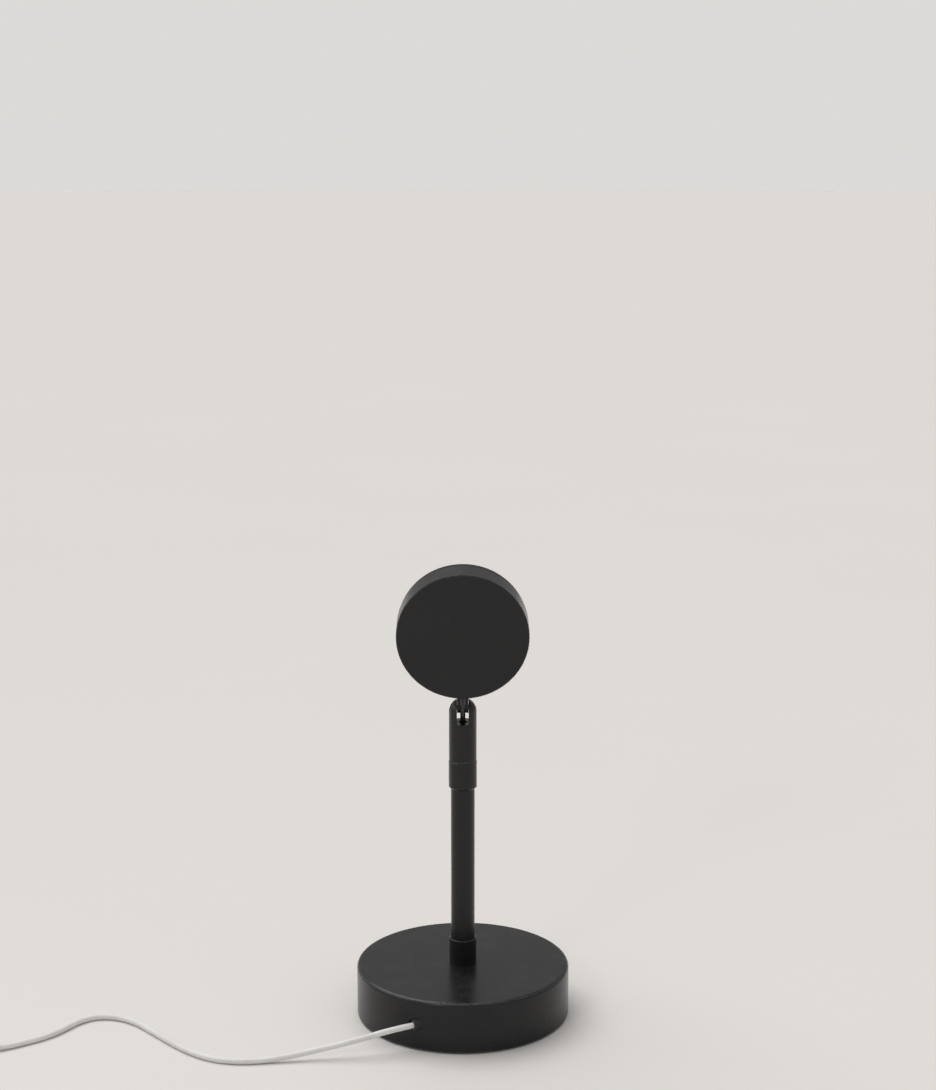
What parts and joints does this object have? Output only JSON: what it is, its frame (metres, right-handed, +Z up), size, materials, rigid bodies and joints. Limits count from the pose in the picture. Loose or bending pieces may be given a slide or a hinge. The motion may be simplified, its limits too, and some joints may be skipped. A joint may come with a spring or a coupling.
{
  "type": "sunset projection lamp",
  "caption": "Small table lamp that projects a disc of coloured light: round weighted base, straight pole, swivelling fork and a flat round tilting head with a lens, on a thin white lead.",
  "frame": {"origin": "centre of the base's underside, where the lamp stands", "axes": "+Z up along the pole, +Y the way the beam points, +X to the right seen from behind"},
  "size_m": [0.4004, 0.1515, 0.2386],
  "materials": {
    "black_coated_steel": "satin black powder coat",
    "black_coated_aluminium": "satin black coating",
    "raw_iron": "as cast",
    "zinc_steel": "zinc plated",
    "black_foam_rubber": "matt cellular",
    "black_rubber": "matt",
    "natural_nylon": "natural",
    "black_plastic": "matt black",
    "lens_glass": "polished",
    "filter_glass": "polished, orange",
    "bare_aluminium": "bare, white solder mask on the board",
    "led_phosphor": "yellow phosphor",
    "white_vinyl": "soft satin",
    "white_plastic": "satin",
    "black_vinyl": "satin",
    "nickel_shell": "nickel plated",
    "brass_contact": "plated"
  },
  "bodies": {
    "base": {"base_cover": "black_coated_steel", "base_weight": "raw_iron", "base_plate": "zinc_steel", "base_screws": "zinc_steel", "foot_pad": "black_foam_rubber", "pole_nipple": "zinc_steel", "pole_washer": "zinc_steel", "pole_nut": "zinc_steel", "pole": "black_coated_steel", "foot_collar": "black_coated_steel", "swivel_collar": "black_coated_steel", "friction_washer": "natural_nylon", "swivel_bolt": "zinc_steel", "cord_grommet": "black_rubber", "strain_tie": "natural_nylon", "inner_cord": "white_vinyl", "splice_sleeve": "black_vinyl", "pole_lead": "black_vinyl", "cord_run": "white_vinyl", "cord_coil": "white_vinyl", "cord_link": "white_vinyl", "cord_tail": "white_vinyl", "coil_tie": "white_vinyl", "switch_lower": "white_plastic", "switch_upper": "white_plastic", "switch_spring": "zinc_steel", "switch_contacts": "brass_contact", "plug_grip": "white_vinyl", "plug_shell": "nickel_shell", "plug_insulator": "white_plastic", "plug_contacts": "brass_contact"},
    "fork": {"fork": "black_coated_steel", "swivel_bushing": "natural_nylon", "spring_washer": "zinc_steel", "pivot_screw": "zinc_steel", "joint_lead": "black_vinyl"},
    "head": {"head_stem": "black_coated_steel", "stem_nut": "zinc_steel", "rear_shell": "black_coated_aluminium", "front_bezel": "black_coated_aluminium", "lens": "lens_glass", "lens_gasket": "black_rubber", "lens_retainer": "black_plastic", "filter_holder": "black_plastic", "colour_filter": "filter_glass", "heat_spreader": "bare_aluminium", "led_board": "bare_aluminium", "led_chip": "led_phosphor", "led_screws": "zinc_steel", "led_connector": "natural_nylon", "head_grommet": "black_rubber", "head_lead": "black_vinyl"},
    "switch_button": {"switch_button": "white_plastic"}
  },
  "joints": [
    {"name": "head_swivel", "type": "hinge", "parent": "base", "child": "fork", "pos_m": [0, 0, 0.1356], "axis": [0, 0, 1], "range_deg": [-175, 175]},
    {"name": "head_tilt", "type": "hinge", "parent": "fork", "child": "head", "pos_m": [0, 0, 0.1635], "axis": [1, 0, 0], "range_deg": [-99, 80], "deforming": ["joint_lead"]},
    {"name": "switch_press", "type": "slide", "parent": "base", "child": "switch_button", "axis": [0, 0, -1], "range_m": [0, 0.0012], "stiffness_N_per_m": 500, "springref_m": -0.0015, "deforming": ["switch_spring"]}
  ]
}
